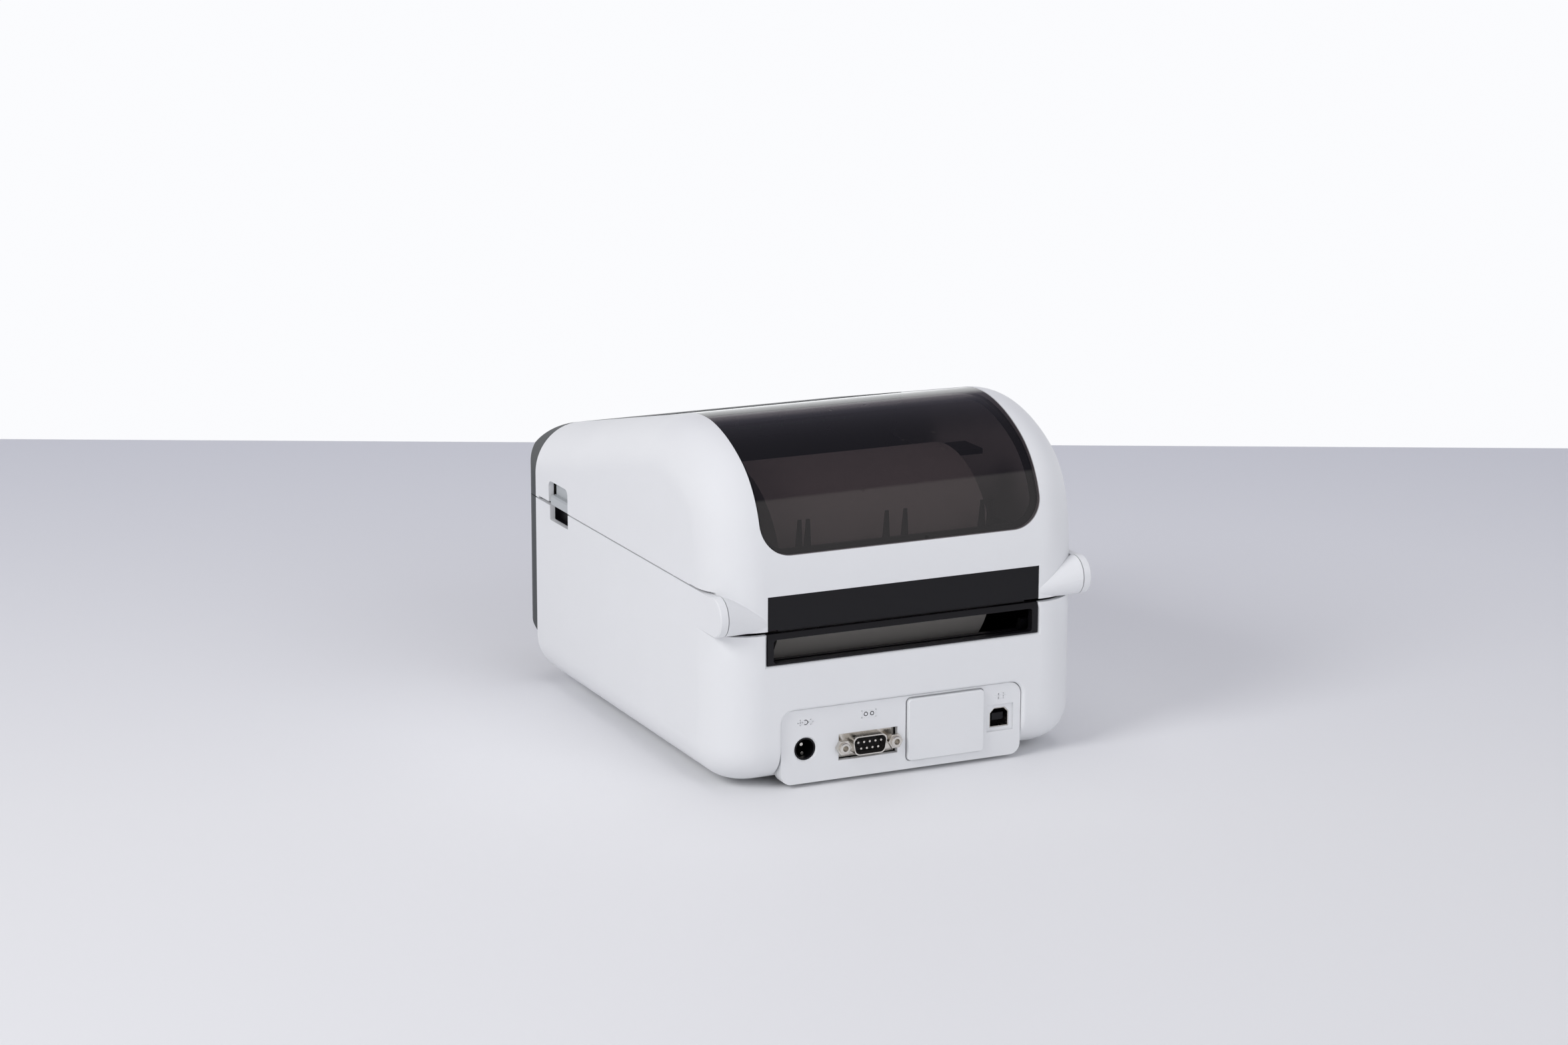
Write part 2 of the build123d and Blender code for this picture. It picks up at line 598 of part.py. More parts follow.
idler_reach = pinion_radius + idler_big_radius + gear_gap
platen_reach = platen_gear_radius + idler_small_radius + gear_gap
span_y, span_z = platen_y - motor_y, platen_z - motor_z
span = hypot(span_y, span_z)
along = (idler_reach**2 - platen_reach**2 + span**2) / (2 * span)
aside = sqrt(idler_reach**2 - along**2)
idler_y = motor_y + (along * span_y + aside * span_z) / span
idler_z = motor_z + (along * span_z - aside * span_y) / span

with BuildPart() as platen_gear:
    add(gear_on_x(platen_gear_radius, 32, shaft_radius + 0.02, gear_x + 4.4, platen_y, platen_z))
save(platen_gear.part, "platen_gear")

with BuildPart() as idler_gear:
    add(gear_on_x(idler_big_radius, 46, idler_bore, gear_x, idler_y, idler_z))
    add(gear_on_x(idler_small_radius, 26, idler_bore, gear_x + 4.4, idler_y, idler_z))
    with BuildSketch(Plane.YZ.offset(gear_x + 3.9)):
        with Locations((idler_y, idler_z)):
            Circle(6)
            Circle(idler_bore, mode=Mode.SUBTRACT)
    extrude(amount=0.7)
save(idler_gear.part, "idler_gear")

with BuildPart() as motor_pinion:
    rod(2.5, (70.2, gear_x + 5), motor_y, motor_z)
    add(gear_on_x(pinion_radius, 16, 2.4, gear_x, motor_y, motor_z))
save(motor_pinion.part, "motor_pinion")

with BuildPart() as gear_bracket:
    box_between((70.2, 71.8), (-85, -44), (8.4, 80.4))
    with BuildSketch(Plane.YZ.offset(60)):
        with Locations((motor_y, motor_z)):
            Circle(3.2)
            with GridLocations(31, 31, 2, 2):
                Circle(1.6)
    extrude(amount=20, mode=Mode.SUBTRACT)
    rod(idler_axle_radius, (70.2, gear_x + 9), idler_y, idler_z)   # riveted idler axle
save(gear_bracket.part, "gear_bracket")

with BuildPart() as stepper_motor:
    box_between((36, 70.1), (motor_y - motor_size / 2, motor_y + motor_size / 2),
                (motor_z - motor_size / 2, motor_z + motor_size / 2))
    chamfer(stepper_motor.edges().filter_by(Axis.X), 4)
    box_between((30, 36), (motor_y - 8, motor_y + 8), (motor_z - 21, motor_z - 15))
save(stepper_motor.part, "stepper_motor")

# ---------------------------------------------------------------- label roll, strip and guides
with BuildPart() as label_roll:
    rod(roll_radius, (-roll_half, roll_half), roll_y, roll_z)
    rod(core_outer + 0.1, (-60, 60), roll_y, roll_z, mode=Mode.SUBTRACT)
save(label_roll.part, "label_roll")

with BuildPart() as roll_core:
    rod(core_outer, (-roll_half, roll_half), roll_y, roll_z)
    rod(core_inner, (-60, 60), roll_y, roll_z, mode=Mode.SUBTRACT)
save(roll_core.part, "roll_core")

strip_turn_y = -38.0
strip_reach = hypot(roll_y - strip_turn_y, roll_z - web_z)
strip_angle = atan2(roll_z - web_z, roll_y - strip_turn_y)
strip_angle += atan2(roll_radius + 0.3, sqrt(strip_reach**2 - (roll_radius + 0.3)**2))
strip_run = sqrt(strip_reach**2 - (roll_radius + 0.3)**2) - 2
strip_end = (strip_turn_y + strip_run * cos(strip_angle), web_z + strip_run * sin(strip_angle))
with BuildPart() as label_strip:
    with BuildSketch(Plane.YZ):
        with BuildLine():
            lower = Polyline((front_y + 0.6, web_z), (strip_turn_y, web_z), strip_end)
            upper = (-sin(strip_angle) * web_thickness, cos(strip_angle) * web_thickness)
            bend = web_thickness * tan(strip_angle / 2)
            Polyline(lower @ 1, (strip_end[0] + upper[0], strip_end[1] + upper[1]),
                     (strip_turn_y - bend, web_z + web_thickness), (front_y + 0.6, web_z + web_thickness),
                     lower @ 0)
        make_face()
    extrude(amount=roll_half - 0.7, both=True)
save(label_strip.part, "label_strip")

guide_face = roll_half + 0.6
rack_y, rack_height = 12.4, (31.4, 34.4)
pinion_tip = 9.0


def side_guide(side):
    """One paper guide: plate with a top flange, core hub and rack."""
    with BuildPart() as guide:
        with BuildSketch(Plane.YZ.offset(side * guide_face)):
            with Locations((roll_y, roll_z - 4)):
                SlotOverall(98, 52, rotation=90)
        extrude(amount=side * 2.4)
        box_between(spread(side, guide_face, 66), (37, 54), (127, 129.4))
        rod(11.4, spread(side, 42, guide_face + 0.5), roll_y, roll_z)
        rack_side = side * rack_y
        near, far = sorted((roll_y + rack_side - 2.4, roll_y + rack_side + 2.4))
        x_limits = (-16, guide_face + 0.5) if side > 0 else (-guide_face - 0.5, 16)
        box_between(x_limits, (near, far), rack_height)
    return guide.part


guide_left = side_guide(1)
save(guide_left, "guide_left")
guide_right = side_guide(-1)
save(guide_right, "guide_right")

with BuildPart() as guide_pinion:
    add(extrude(Plane.XY.offset(rack_height[0]) * Pos(0, roll_y) * gear_sketch(pinion_tip, 24, 2.56),
                amount=rack_height[1] - rack_height[0]))
save(guide_pinion.part, "guide_pinion")

# ---------------------------------------------------------------- cover shell (white)
lever_recess_top = 100.6
latch_cheek = (78.0, 81.0)

with BuildPart() as cover_shell:
    add(cover_block(0, slab_bottom, seam_y))
    add(cover_block(wall, slab_bottom - 1, seam_y + wall), mode=Mode.SUBTRACT)
    # level lower edge along the sides, clear of the tongues and end caps at the rear
    box_between((-100, 100), (-120, 93), (50, cover_bottom), mode=Mode.SUBTRACT)
    for side in (-1, 1):
        box_between(spread(side, fairing_x, 100), (80, 120), (50, cover_bottom + 0.3), mode=Mode.SUBTRACT)
    # opening for the dark band and the window
    with BuildSketch(Plane.XZ.offset(150)) as band_opening:
        with Locations((0, window_bottom + 50)):
            Rectangle(2 * band_half, 100)
        fillet(band_opening.vertices().group_by(Axis.Y)[0], window_corner)
    extrude(amount=-300, mode=Mode.SUBTRACT)
    box_between((-slot_half, slot_half), (80, 120), (50, slab_top + 0.1), mode=Mode.SUBTRACT)
    box_between((-85, 85), (-120, seam_y + 9), (50, 105), mode=Mode.SUBTRACT)
    # fairings that carry the hinge, tapering to the slot piece
    for side in (-1, 1):
        with BuildSketch(Plane.YZ.offset(side * fairing_x)):
            with Locations((hinge_y, hinge_z)):
                Circle(boss_radius)
        with BuildSketch(Plane.YZ.offset(side * slot_half)):
            with Locations((hinge_y, hinge_z - 4.6)):
                Circle(boss_radius - 4.6)
        loft()
    for side in (-1, 1):
        rod(hinge_pin_radius + 0.05, spread(side, 73.5, half_width), hinge_y, hinge_z, mode=Mode.SUBTRACT)
        with BuildSketch(Plane.YZ.offset(side * 84)) as recess:
            with Locations(((grip_front_y + grip_rear_y) / 2, (cover_bottom + lever_recess_top) / 2 - 5)):
                Rectangle(grip_rear_y - grip_front_y, lever_recess_top - cover_bottom + 10)
            fillet(recess.vertices().group_by(Axis.Y)[-1], 3)
        extrude(amount=side * 10, mode=Mode.SUBTRACT)
        box_between(spread(side, 86, 92), grip_gap[:2], (cover_bottom - 1, grip_gap[2]), mode=Mode.SUBTRACT)
save(cover_shell.part, "cover_shell")


def band_piece(outer_inset, inner_inset, half, front, low, corner):
    """A strip of the cover's skin across the middle, from front to a low rear edge."""
    with BuildPart() as band:
        extrude(cover_outline(outer_inset, slab_bottom, seam_y), amount=half, both=True)
        extrude(cover_outline(inner_inset, slab_bottom - 5, seam_y - 5), amount=half + 1, both=True,
                mode=Mode.SUBTRACT)
        with BuildSketch(Plane.XZ.offset(-front)) as trim:
            with Locations((0, low + 50)):
                Rectangle(2 * half, 100)
            fillet(trim.vertices().group_by(Axis.Y)[0], corner)
        extrude(amount=-200, mode=Mode.INTERSECT)
    return band.part


window_gap = 0.35
window_half = band_half - window_gap
with BuildPart() as window:
    add(band_piece(0.15, 2.4, window_half, window_front_y, window_bottom + window_gap,
                   window_corner - window_gap))
save(window.part, "window")

bezel_half = 70.5
with BuildPart() as window_bezel:
    add(band_piece(3.4, 5.2, bezel_half, window_front_y - 4, window_bottom - 3, window_corner))
    with BuildSketch(Plane.XZ.offset(-window_front_y - 4)) as hole:
        with Locations((0, window_bottom + 52)):
            Rectangle(131, 100)
        fillet(hole.vertices().group_by(Axis.Y)[0], window_corner - 3)
    extrude(amount=-200, mode=Mode.SUBTRACT)
save(window_bezel.part, "window_bezel")

rib_spots = [44.4 - 2, 44.4 + 2, -4.5, 4.5, -44.4 - 2, -44.4 + 2]
rib_top, rib_foot = 117.6, 96.0
with BuildPart() as rear_liner:
    add(band_piece(5.4, 7.2, slot_half - 0.5, 60, 76, 2))
    box_between((-80, 80), (40, 120), (101, 180), mode=Mode.SUBTRACT)
    for x in rib_spots:
        with BuildSketch(Plane.YZ.offset(x - 0.8)):
            with BuildLine():
                Polyline((rear_y - 7.4, rib_foot), (rear_y - 8.0, 101), (98.6, rib_top), (97.9, rib_top),
                         (95.4, 104), (95.4, rib_foot), (rear_y - 7.4, rib_foot))
            make_face()
        extrude(amount=1.6)
save(rear_liner.part, "rear_liner")

with BuildPart() as rear_slab:
    box_between((-slot_half + 0.2, slot_half - 0.2), (105.8, rear_y - 0.3), (slab_bottom + 0.2, slab_top - 0.1))
    box_between((-60, 60), (103.3, 105.8), (frame_top + 0.4, 86))   # backs the gap under the slab
save(rear_slab.part, "rear_slab")

# ---------------------------------------------------------------- dark top and front of the cover
exit_half, exit_top = 57.0, 99.0
panel_plane = Plane(origin=(0, -78, top_z(-78)), x_dir=(1, 0, 0),
                    z_dir=(0, -sin(radians(slope)), cos(radians(slope))))
power_x, feed_x = -46.0, -28.0
light_spots = [(-4, 0), (6, 0), (16, 0)]
with BuildPart() as top_front_panel:
    add(front_block(0, 140, cover_bottom - 0.2, seam_y - 0.3))
    add(front_block(skin, 140, cover_bottom - 10, seam_y + 8), mode=Mode.SUBTRACT)
    with BuildSketch(Plane.YZ):
        with BuildLine():
            rear_end, front_end = window_front_y - window_gap, seam_y - 1.5
            Polyline((front_end, top_z(front_end)), (rear_end, top_z(rear_end)),
                     (rear_end, top_z(rear_end) - skin), (front_end, top_z(front_end) - skin),
                     (front_end, top_z(front_end)))
        make_face()
    extrude(amount=band_half - window_gap, both=True)
    box_between((-exit_half, exit_half), (front_y - 2, front_y + 8), (cover_bottom - 2, exit_top),
                mode=Mode.SUBTRACT)
    with BuildSketch(panel_plane.offset(2)):
        with Locations((power_x, 0), (feed_x, 0)):
            Circle(6.25)
        with Locations(*light_spots):
            Circle(1.3)
    extrude(amount=-8, mode=Mode.SUBTRACT)
save(top_front_panel.part, "top_front_panel")

board_depth = 11.0


def panel_button(x):
    """A round key: cap, retaining flange and stem down to its switch."""
    with BuildPart() as key:
        with BuildSketch(panel_plane.offset(-4)):
            with Locations((x, 0)):
                Circle(6)
        extrude(amount=4.1)
        fillet(key.edges().group_by(Axis.Z)[-1], 0.6)
        with BuildSketch(panel_plane.offset(-4)):
            with Locations((x, 0)):
                Circle(7)
        extrude(amount=1)
        with BuildSketch(panel_plane.offset(-4)):
            with Locations((x, 0)):
                Circle(1.6)
        extrude(amount=-3)
    return key.part


power_button = panel_button(power_x)
save(power_button, "power_button")
feed_button = panel_button(feed_x)
save(feed_button, "feed_button")

with BuildPart() as panel_board:
    with BuildSketch(panel_plane.offset(-board_depth)):
        with Locations((-14, 0)):
            Rectangle(92, 22)
    extrude(amount=1.6)
    with BuildSketch(panel_plane.offset(-board_depth + 1.6)):
        with Locations((power_x, 0), (feed_x, 0)):
            Rectangle(6, 6)
    extrude(amount=1.4)
save(panel_board.part, "panel_board")

with BuildPart() as status_lights:
    with BuildSketch(panel_plane.offset(-board_depth + 1.7)):
        with Locations(*light_spots):
            Circle(1.1)
    extrude(amount=board_depth - 1.7)
save(status_lights.part, "status_lights")

# ---------------------------------------------------------------- frame inside the cover
frame_z = (106.0, 108.4)
guide_bar_y, guide_bar_z = -40.0, 96.2
with BuildPart() as cover_frame:
    box_between((-84, 84), (-94, -36), frame_z)
    for side in (-1, 1):
        box_between(spread(side, *latch_cheek), (latch_y - 8, -36), (92.8, frame_z[0]))
        with BuildSketch(Plane.YZ.offset(side * 60)):
            with BuildLine():
                start, stop, drop = -90.0, -24.0, 5.9
                Polyline((start, frame_z[1]), (start, top_z(start) - drop), (stop, top_z(stop) - drop),
                         (stop, top_z(stop) - drop - 8), (-36, frame_z[0]), (start, frame_z[0]),
                         (start, frame_z[1]))
            make_face()
        extrude(amount=side * 2.4)
    rod(shaft_radius + 0.05, (-90, 90), latch_y, latch_z, mode=Mode.SUBTRACT)
    rod(2.05, (-90, 90), guide_bar_y, guide_bar_z, mode=Mode.SUBTRACT)
save(cover_frame.part, "cover_frame")

with BuildPart() as guide_bar:
    rod(2.0, (-80.5, 80.5), guide_bar_y, guide_bar_z)
    rod(3.0, (-58, 58), guide_bar_y, guide_bar_z)
save(guide_bar.part, "web_guide_bar")

# ---------------------------------------------------------------- print head
head_y, head_z = -74.0, 101.0
with BuildPart() as head_sink:
    box_between((-56, 56), (-100, -74), (96, 101))
    with Locations(*[(x, -87, 100) for x in range(-48, 49, 6)]):
        Box(2.4, 24, 2.1, mode=Mode.SUBTRACT)
    for side in (-1, 1):
        box_between(spread(side, 56, 58), (-84, -70), (96, 104))
    rod(1.6, (-60, 60), head_y, head_z, mode=Mode.SUBTRACT)
save(head_sink.part, "head_heatsink")

with BuildPart() as head_strip:
    box_between((-54, 54), (-97, -85), (93.1, 95.95))
    chamfer(head_strip.edges().filter_by(Axis.X).group_by(Axis.Z)[0], 0.8)
save(head_strip.part, "head_strip")

with BuildPart() as head_pivots:
    for side in (-1, 1):
        rod(1.5, spread(side, 55.8, 60.6), head_y, head_z)
        box_between(spread(side, 58.4, 60.6), (-78, -70), (98, frame_z[0]))
save(head_pivots.part, "head_pivots")

with BuildPart() as head_springs:
    for x in (-36, 36):
        with Locations((x, -90, 103.5)):
            Cylinder(3.2, 4.9)
            Cylinder(2.4, 6, mode=Mode.SUBTRACT)
save(head_springs.part, "head_springs")

# ---------------------------------------------------------------- cover latch
with BuildPart() as latch_shaft:
    rod(shaft_radius, (-84, 84), latch_y, latch_z)
save(latch_shaft.part, "latch_shaft")


def latch_lever(side):
    """Finger lever at the side of the cover, fixed on the end of the latch shaft."""
    lever_y = (grip_front_y + 1.3, grip_rear_y - 0.7)
    with BuildPart() as lever:
        box_between(spread(side, 84.6, 86.6), lever_y, (cover_bottom, 103))
        box_between(spread(side, 84.6, half_width - 0.5), lever_y, (cover_bottom - 0.1, 93.8))
        box_between(spread(side, 84.6, 86.6), (lever_y[1] - 8, latch_y), (94.5, 103.5))
        rod(5, spread(side, 81.2, 86.6), latch_y, latch_z)
        rod(shaft_radius + 0.02, spread(side, 80, 84.2), latch_y, latch_z, mode=Mode.SUBTRACT)
        outer = lever.edges().filter_by(Axis.Y).filter_by(lambda e: abs(e.center().X) > half_width - 0.6)
        chamfer(outer.sort_by(Axis.Z)[-1], 0.8)
    return lever.part


lever_left = latch_lever(1)
save(lever_left, "lever_left")
lever_right = latch_lever(-1)
save(lever_right, "lever_right")

with BuildPart() as latch_hooks:
    for side in (-1, 1):
        with BuildSketch(Plane.YZ.offset(side * 66.5)):
            with Locations((latch_y, latch_z)):
                Circle(5.2)
            with BuildLine():
                hook = [(0, 103), (-17, 95), (-22.5, 90), (-22.5, 81.4), (-17.4, 81.4), (-17.4, 83.6),
                        (-19.4, 84.4), (-19.4, 89), (-14, 92), (0, 94), (0, 103)]
                Polyline(*[(latch_y + reach, z) for reach, z in hook])
            make_face()
            with Locations((latch_y, latch_z)):
                Circle(shaft_radius + 0.02, mode=Mode.SUBTRACT)
        extrude(amount=side * 3)
save(latch_hooks.part, "latch_hooks")
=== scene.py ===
import json
import math

import bmesh
import bpy
from mathutils import Matrix, Vector


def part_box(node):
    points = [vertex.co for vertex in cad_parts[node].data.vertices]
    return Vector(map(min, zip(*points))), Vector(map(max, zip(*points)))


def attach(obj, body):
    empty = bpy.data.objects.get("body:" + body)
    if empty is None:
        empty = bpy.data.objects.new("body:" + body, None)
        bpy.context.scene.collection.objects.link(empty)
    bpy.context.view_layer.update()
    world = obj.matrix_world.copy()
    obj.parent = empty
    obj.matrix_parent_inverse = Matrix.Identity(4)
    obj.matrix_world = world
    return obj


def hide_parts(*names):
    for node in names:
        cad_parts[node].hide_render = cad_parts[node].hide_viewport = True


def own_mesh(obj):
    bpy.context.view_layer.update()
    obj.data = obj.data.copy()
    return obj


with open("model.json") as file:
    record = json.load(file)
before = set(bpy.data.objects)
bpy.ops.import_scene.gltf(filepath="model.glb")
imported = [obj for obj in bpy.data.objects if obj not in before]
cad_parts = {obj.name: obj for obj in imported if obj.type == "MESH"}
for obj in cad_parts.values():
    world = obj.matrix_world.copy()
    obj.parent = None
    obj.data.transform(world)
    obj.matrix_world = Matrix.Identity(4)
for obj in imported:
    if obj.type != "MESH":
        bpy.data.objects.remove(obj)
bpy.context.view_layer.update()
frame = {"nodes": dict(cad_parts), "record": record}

MM = 0.001
DOT_RADIUS = 0.16               # of a speck, as a share of its cell
scene = bpy.context.scene


# ---------------------------------------------------------------- shader recipes
class Recipe:
    """One material: a Principled shader and the texture nodes that feed it, in object space."""

    def __init__(self, name, colour, roughness, metallic=0.0):
        self.material = bpy.data.materials.new(name)
        self.material.use_nodes = True
        self.tree = self.material.node_tree
        self.shader = self.tree.nodes["Principled BSDF"]
        self.shader.inputs["Base Color"].default_value = (*colour, 1.0)
        self.shader.inputs["Roughness"].default_value = roughness
        self.shader.inputs["Metallic"].default_value = metallic
        self.colour = colour
        self.place = self.node("ShaderNodeTexCoord").outputs["Object"]

    def node(self, kind, **settings):
        made = self.tree.nodes.new(kind)
        for key, value in settings.items():
            setattr(made, key, value)
        return made

    def feed(self, socket, value):
        """Link an output, or set a plain value."""
        if isinstance(value, bpy.types.NodeSocket):
            self.tree.links.new(value, socket)
        else:
            socket.default_value = value

    def math(self, operation, a, b=0.0):
        made = self.node("ShaderNodeMath", operation=operation)
        self.feed(made.inputs[0], a)
        self.feed(made.inputs[1], b)
        return made.outputs[0]

    def stretched(self, scale):
        made = self.node("ShaderNodeVectorMath", operation="MULTIPLY")
        self.feed(made.inputs[0], self.place)
        made.inputs[1].default_value = scale
        return made.outputs[0]

    def noise(self, size, detail=2.0, stretch=(1, 1, 1), rough=0.5):
        """Noise whose blobs are about size metres across, from 0 to 1."""
        made = self.node("ShaderNodeTexNoise")
        self.feed(made.inputs["Vector"], self.stretched(stretch))
        made.inputs["Scale"].default_value = 1.0 / size
        made.inputs["Detail"].default_value = detail
        made.inputs["Roughness"].default_value = rough
        return made.outputs["Fac"]

    def specks(self, size, share):
        """Small scattered dots: 1 in a dot, 0 elsewhere. share is how many of the cells hold one."""
        cells = self.node("ShaderNodeTexVoronoi")
        self.feed(cells.inputs["Vector"], self.place)
        cells.inputs["Scale"].default_value = 1.0 / size
        near = self.math("LESS_THAN", cells.outputs["Distance"], DOT_RADIUS)
        pick = self.node("ShaderNodeSeparateColor")
        self.feed(pick.inputs[0], cells.outputs["Color"])
        return self.math("MULTIPLY", near, self.math("LESS_THAN", pick.outputs[0], share))

    def span(self, value, low, high, start=0.3, stop=0.7):
        """A 0..1 value stretched from start..stop to low..high."""
        made = self.node("ShaderNodeMapRange")
        self.feed(made.inputs["Value"], value)
        for key, number in (("From Min", start), ("From Max", stop), ("To Min", low), ("To Max", high)):
            made.inputs[key].default_value = number
        return made.outputs["Result"]

    def tint(self, factor, other, base=None):
        """Colour mixed from the base colour towards another."""
        made = self.node("ShaderNodeMix", data_type="RGBA")
        self.feed(made.inputs[0], factor)
        self.feed(made.inputs[6], base or (*self.colour, 1.0))
        self.feed(made.inputs[7], (*other, 1.0))
        return made.outputs[2]

    def paint(self, colour_socket):
        self.feed(self.shader.inputs["Base Color"], colour_socket)

    def relief(self, height, depth, soft_edge=0.0):
        """Bump of a height map, depth in metres, over rounded corners where soft_edge is set."""
        bump = self.node("ShaderNodeBump")
        bump.inputs["Strength"].default_value = 1.0
        bump.inputs["Distance"].default_value = depth
        self.feed(bump.inputs["Height"], height)
        if soft_edge:
            bevel = self.node("ShaderNodeBevel", samples=4)
            bevel.inputs["Radius"].default_value = soft_edge
            self.feed(bump.inputs["Normal"], bevel.outputs["Normal"])
        self.feed(self.shader.inputs["Normal"], bump.outputs["Normal"])


def moulded_plastic(name, colour, roughness, grain=0.5, depth=0.008, shade=0.94, soft_edge=0.25,
                    gloss=0.5):
    """Moulded plastic with a spark-eroded grain. grain, depth and soft_edge are in millimetres."""
    recipe = Recipe(name, colour, roughness)
    recipe.shader.inputs["Specular IOR Level"].default_value = gloss
    fine = recipe.noise(grain * MM, detail=3.0, rough=0.6)
    broad = recipe.noise(45 * MM, detail=2.0)
    darker = tuple(c * shade for c in colour)
    recipe.paint(recipe.tint(recipe.span(broad, 0.0, 0.5), darker))
    rough = recipe.math("ADD", recipe.span(fine, -0.04, 0.04), recipe.span(broad, -0.03, 0.03))
    recipe.feed(recipe.shader.inputs["Roughness"], recipe.math("ADD", rough, roughness))
    recipe.relief(fine, depth * MM, soft_edge * MM)
    return recipe.material


def metal(name, colour, roughness, stretch=(1, 1, 1), depth=0.002, soft_edge=0.15):
    """Plated or brushed metal: fine lines along the short sides of stretch, and faint smudges."""
    recipe = Recipe(name, colour, roughness, metallic=1.0)
    lines = recipe.noise(0.6 * MM, detail=3.0, stretch=stretch)
    smudge = recipe.noise(9 * MM, detail=2.0)
    recipe.paint(recipe.tint(recipe.span(smudge, 0.0, 0.4), tuple(c * 0.75 for c in colour)))
    rough = recipe.math("ADD", recipe.span(lines, -0.05, 0.07), recipe.span(smudge, -0.04, 0.06))
    recipe.feed(recipe.shader.inputs["Roughness"], recipe.math("ADD", rough, roughness))
    recipe.relief(lines, depth * MM, soft_edge * MM)
    return recipe.material


def rubber(name, colour, roughness):
    recipe = Recipe(name, colour, roughness)
    fine = recipe.noise(0.25 * MM, detail=2.0)
    dust = recipe.noise(6 * MM, detail=4.0)
    recipe.paint(recipe.tint(recipe.span(dust, 0.0, 0.35, 0.5, 0.8), tuple(0.5 * c + 0.15 for c in colour)))
    recipe.feed(recipe.shader.inputs["Roughness"], recipe.span(fine, roughness - 0.06, roughness + 0.06))
    recipe.relief(fine, 0.01 * MM, 0.2 * MM)
    return recipe.material


def wound_paper(name, colour, axis_y, axis_z):
    """Coated label paper. Its cut edges show the turns of the winding as fine rings about an X axis."""
    recipe = Recipe(name, colour, 0.55)
    away = recipe.node("ShaderNodeSeparateXYZ")
    recipe.feed(away.inputs[0], recipe.place)
    dy = recipe.math("SUBTRACT", away.outputs["Y"], axis_y)
    dz = recipe.math("SUBTRACT", away.outputs["Z"], axis_z)
    radius = recipe.math("SQRT", recipe.math("ADD", recipe.math("MULTIPLY", dy, dy),
                                             recipe.math("MULTIPLY", dz, dz)))
    turns = recipe.node("ShaderNodeTexNoise", noise_dimensions="1D")
    recipe.feed(turns.inputs["W"], radius)
    turns.inputs["Scale"].default_value = 1.0 / (0.35 * MM)
    turns.inputs["Detail"].default_value = 2.0
    fibre = recipe.noise(0.35 * MM, detail=4.0, stretch=(0.5, 1, 1))
    cloud = recipe.noise(20 * MM)
    edge = recipe.tint(recipe.span(turns.outputs["Fac"], 0.0, 0.3), tuple(c * 0.72 for c in colour))
    recipe.paint(recipe.tint(recipe.span(cloud, 0.0, 0.25), tuple(c * 0.93 for c in colour), edge))
    height = recipe.math("ADD", fibre, turns.outputs["Fac"])
    recipe.relief(height, 0.012 * MM)
    return recipe.material


def card(name, colour):
    recipe = Recipe(name, colour, 0.85)
    fibre = recipe.noise(0.8 * MM, detail=5.0, stretch=(0.4, 1, 1), rough=0.65)
    recipe.paint(recipe.tint(recipe.span(fibre, 0.0, 0.7), tuple(c * 0.6 for c in colour)))
    recipe.relief(fibre, 0.03 * MM)
    return recipe.material


def circuit_board(name, colour):
    """Green solder mask over straight copper tracks, with tinned pads."""
    recipe = Recipe(name, colour, 0.35)
    tracks = recipe.node("ShaderNodeTexBrick")
    recipe.feed(tracks.inputs["Vector"], recipe.place)
    tracks.inputs["Scale"].default_value = 1.0
    for key, number in (("Brick Width", 11 * MM), ("Row Height", 1.6 * MM), ("Mortar Size", 0.2 * MM)):
        tracks.inputs[key].default_value = number
    pads = recipe.specks(3.4 * MM, 0.35)
    lit = tuple(min(1.0, c * 2.2 + 0.02) for c in colour)
    traced = recipe.tint(tracks.outputs["Fac"], lit)
    recipe.paint(recipe.tint(pads, (0.55, 0.55, 0.52), traced))
    recipe.feed(recipe.shader.inputs["Metallic"], recipe.math("MULTIPLY", pads, 0.8))
    recipe.relief(recipe.math("ADD", tracks.outputs["Fac"], pads), 0.03 * MM)
    return recipe.material


def smoked_window(name, tint):
    """Clear dark plastic: it lets tinted light through straight and mirrors more at a glance."""
    recipe = Recipe(name, tint, 0.03)
    nodes, links = recipe.tree.nodes, recipe.tree.links
    nodes.remove(recipe.shader)
    through = recipe.node("ShaderNodeBsdfTransparent")
    through.inputs["Color"].default_value = (*tint, 1.0)
    mirror = recipe.node("ShaderNodeBsdfGlossy")
    mirror.inputs["Color"].default_value = (1.0, 1.0, 1.0, 1.0)
    haze = recipe.noise(14 * MM, detail=3.0)
    dust = recipe.specks(5.5 * MM, 0.05)
    recipe.feed(mirror.inputs["Roughness"], recipe.math("ADD", recipe.span(haze, 0.015, 0.045), dust))
    facing = recipe.node("ShaderNodeLayerWeight").outputs["Facing"]
    grazing = recipe.math("MULTIPLY", recipe.math("POWER", facing, 5.0), 0.96)
    mix = recipe.node("ShaderNodeMixShader")
    recipe.feed(mix.inputs[0], recipe.math("ADD", grazing, 0.04))
    links.new(through.outputs[0], mix.inputs[1])
    links.new(mirror.outputs[0], mix.inputs[2])
    links.new(mix.outputs[0], nodes["Material Output"].inputs["Surface"])
    return recipe.material


def clear_pipe(name, colour):
    recipe = Recipe(name, colour, 0.12)
    recipe.shader.inputs["Transmission Weight"].default_value = 0.6
    ripple = recipe.noise(0.8 * MM)
    recipe.paint(recipe.tint(recipe.span(ripple, 0.0, 0.3), tuple(c * 0.8 for c in colour)))
    recipe.relief(ripple, 0.01 * MM)
    return recipe.material


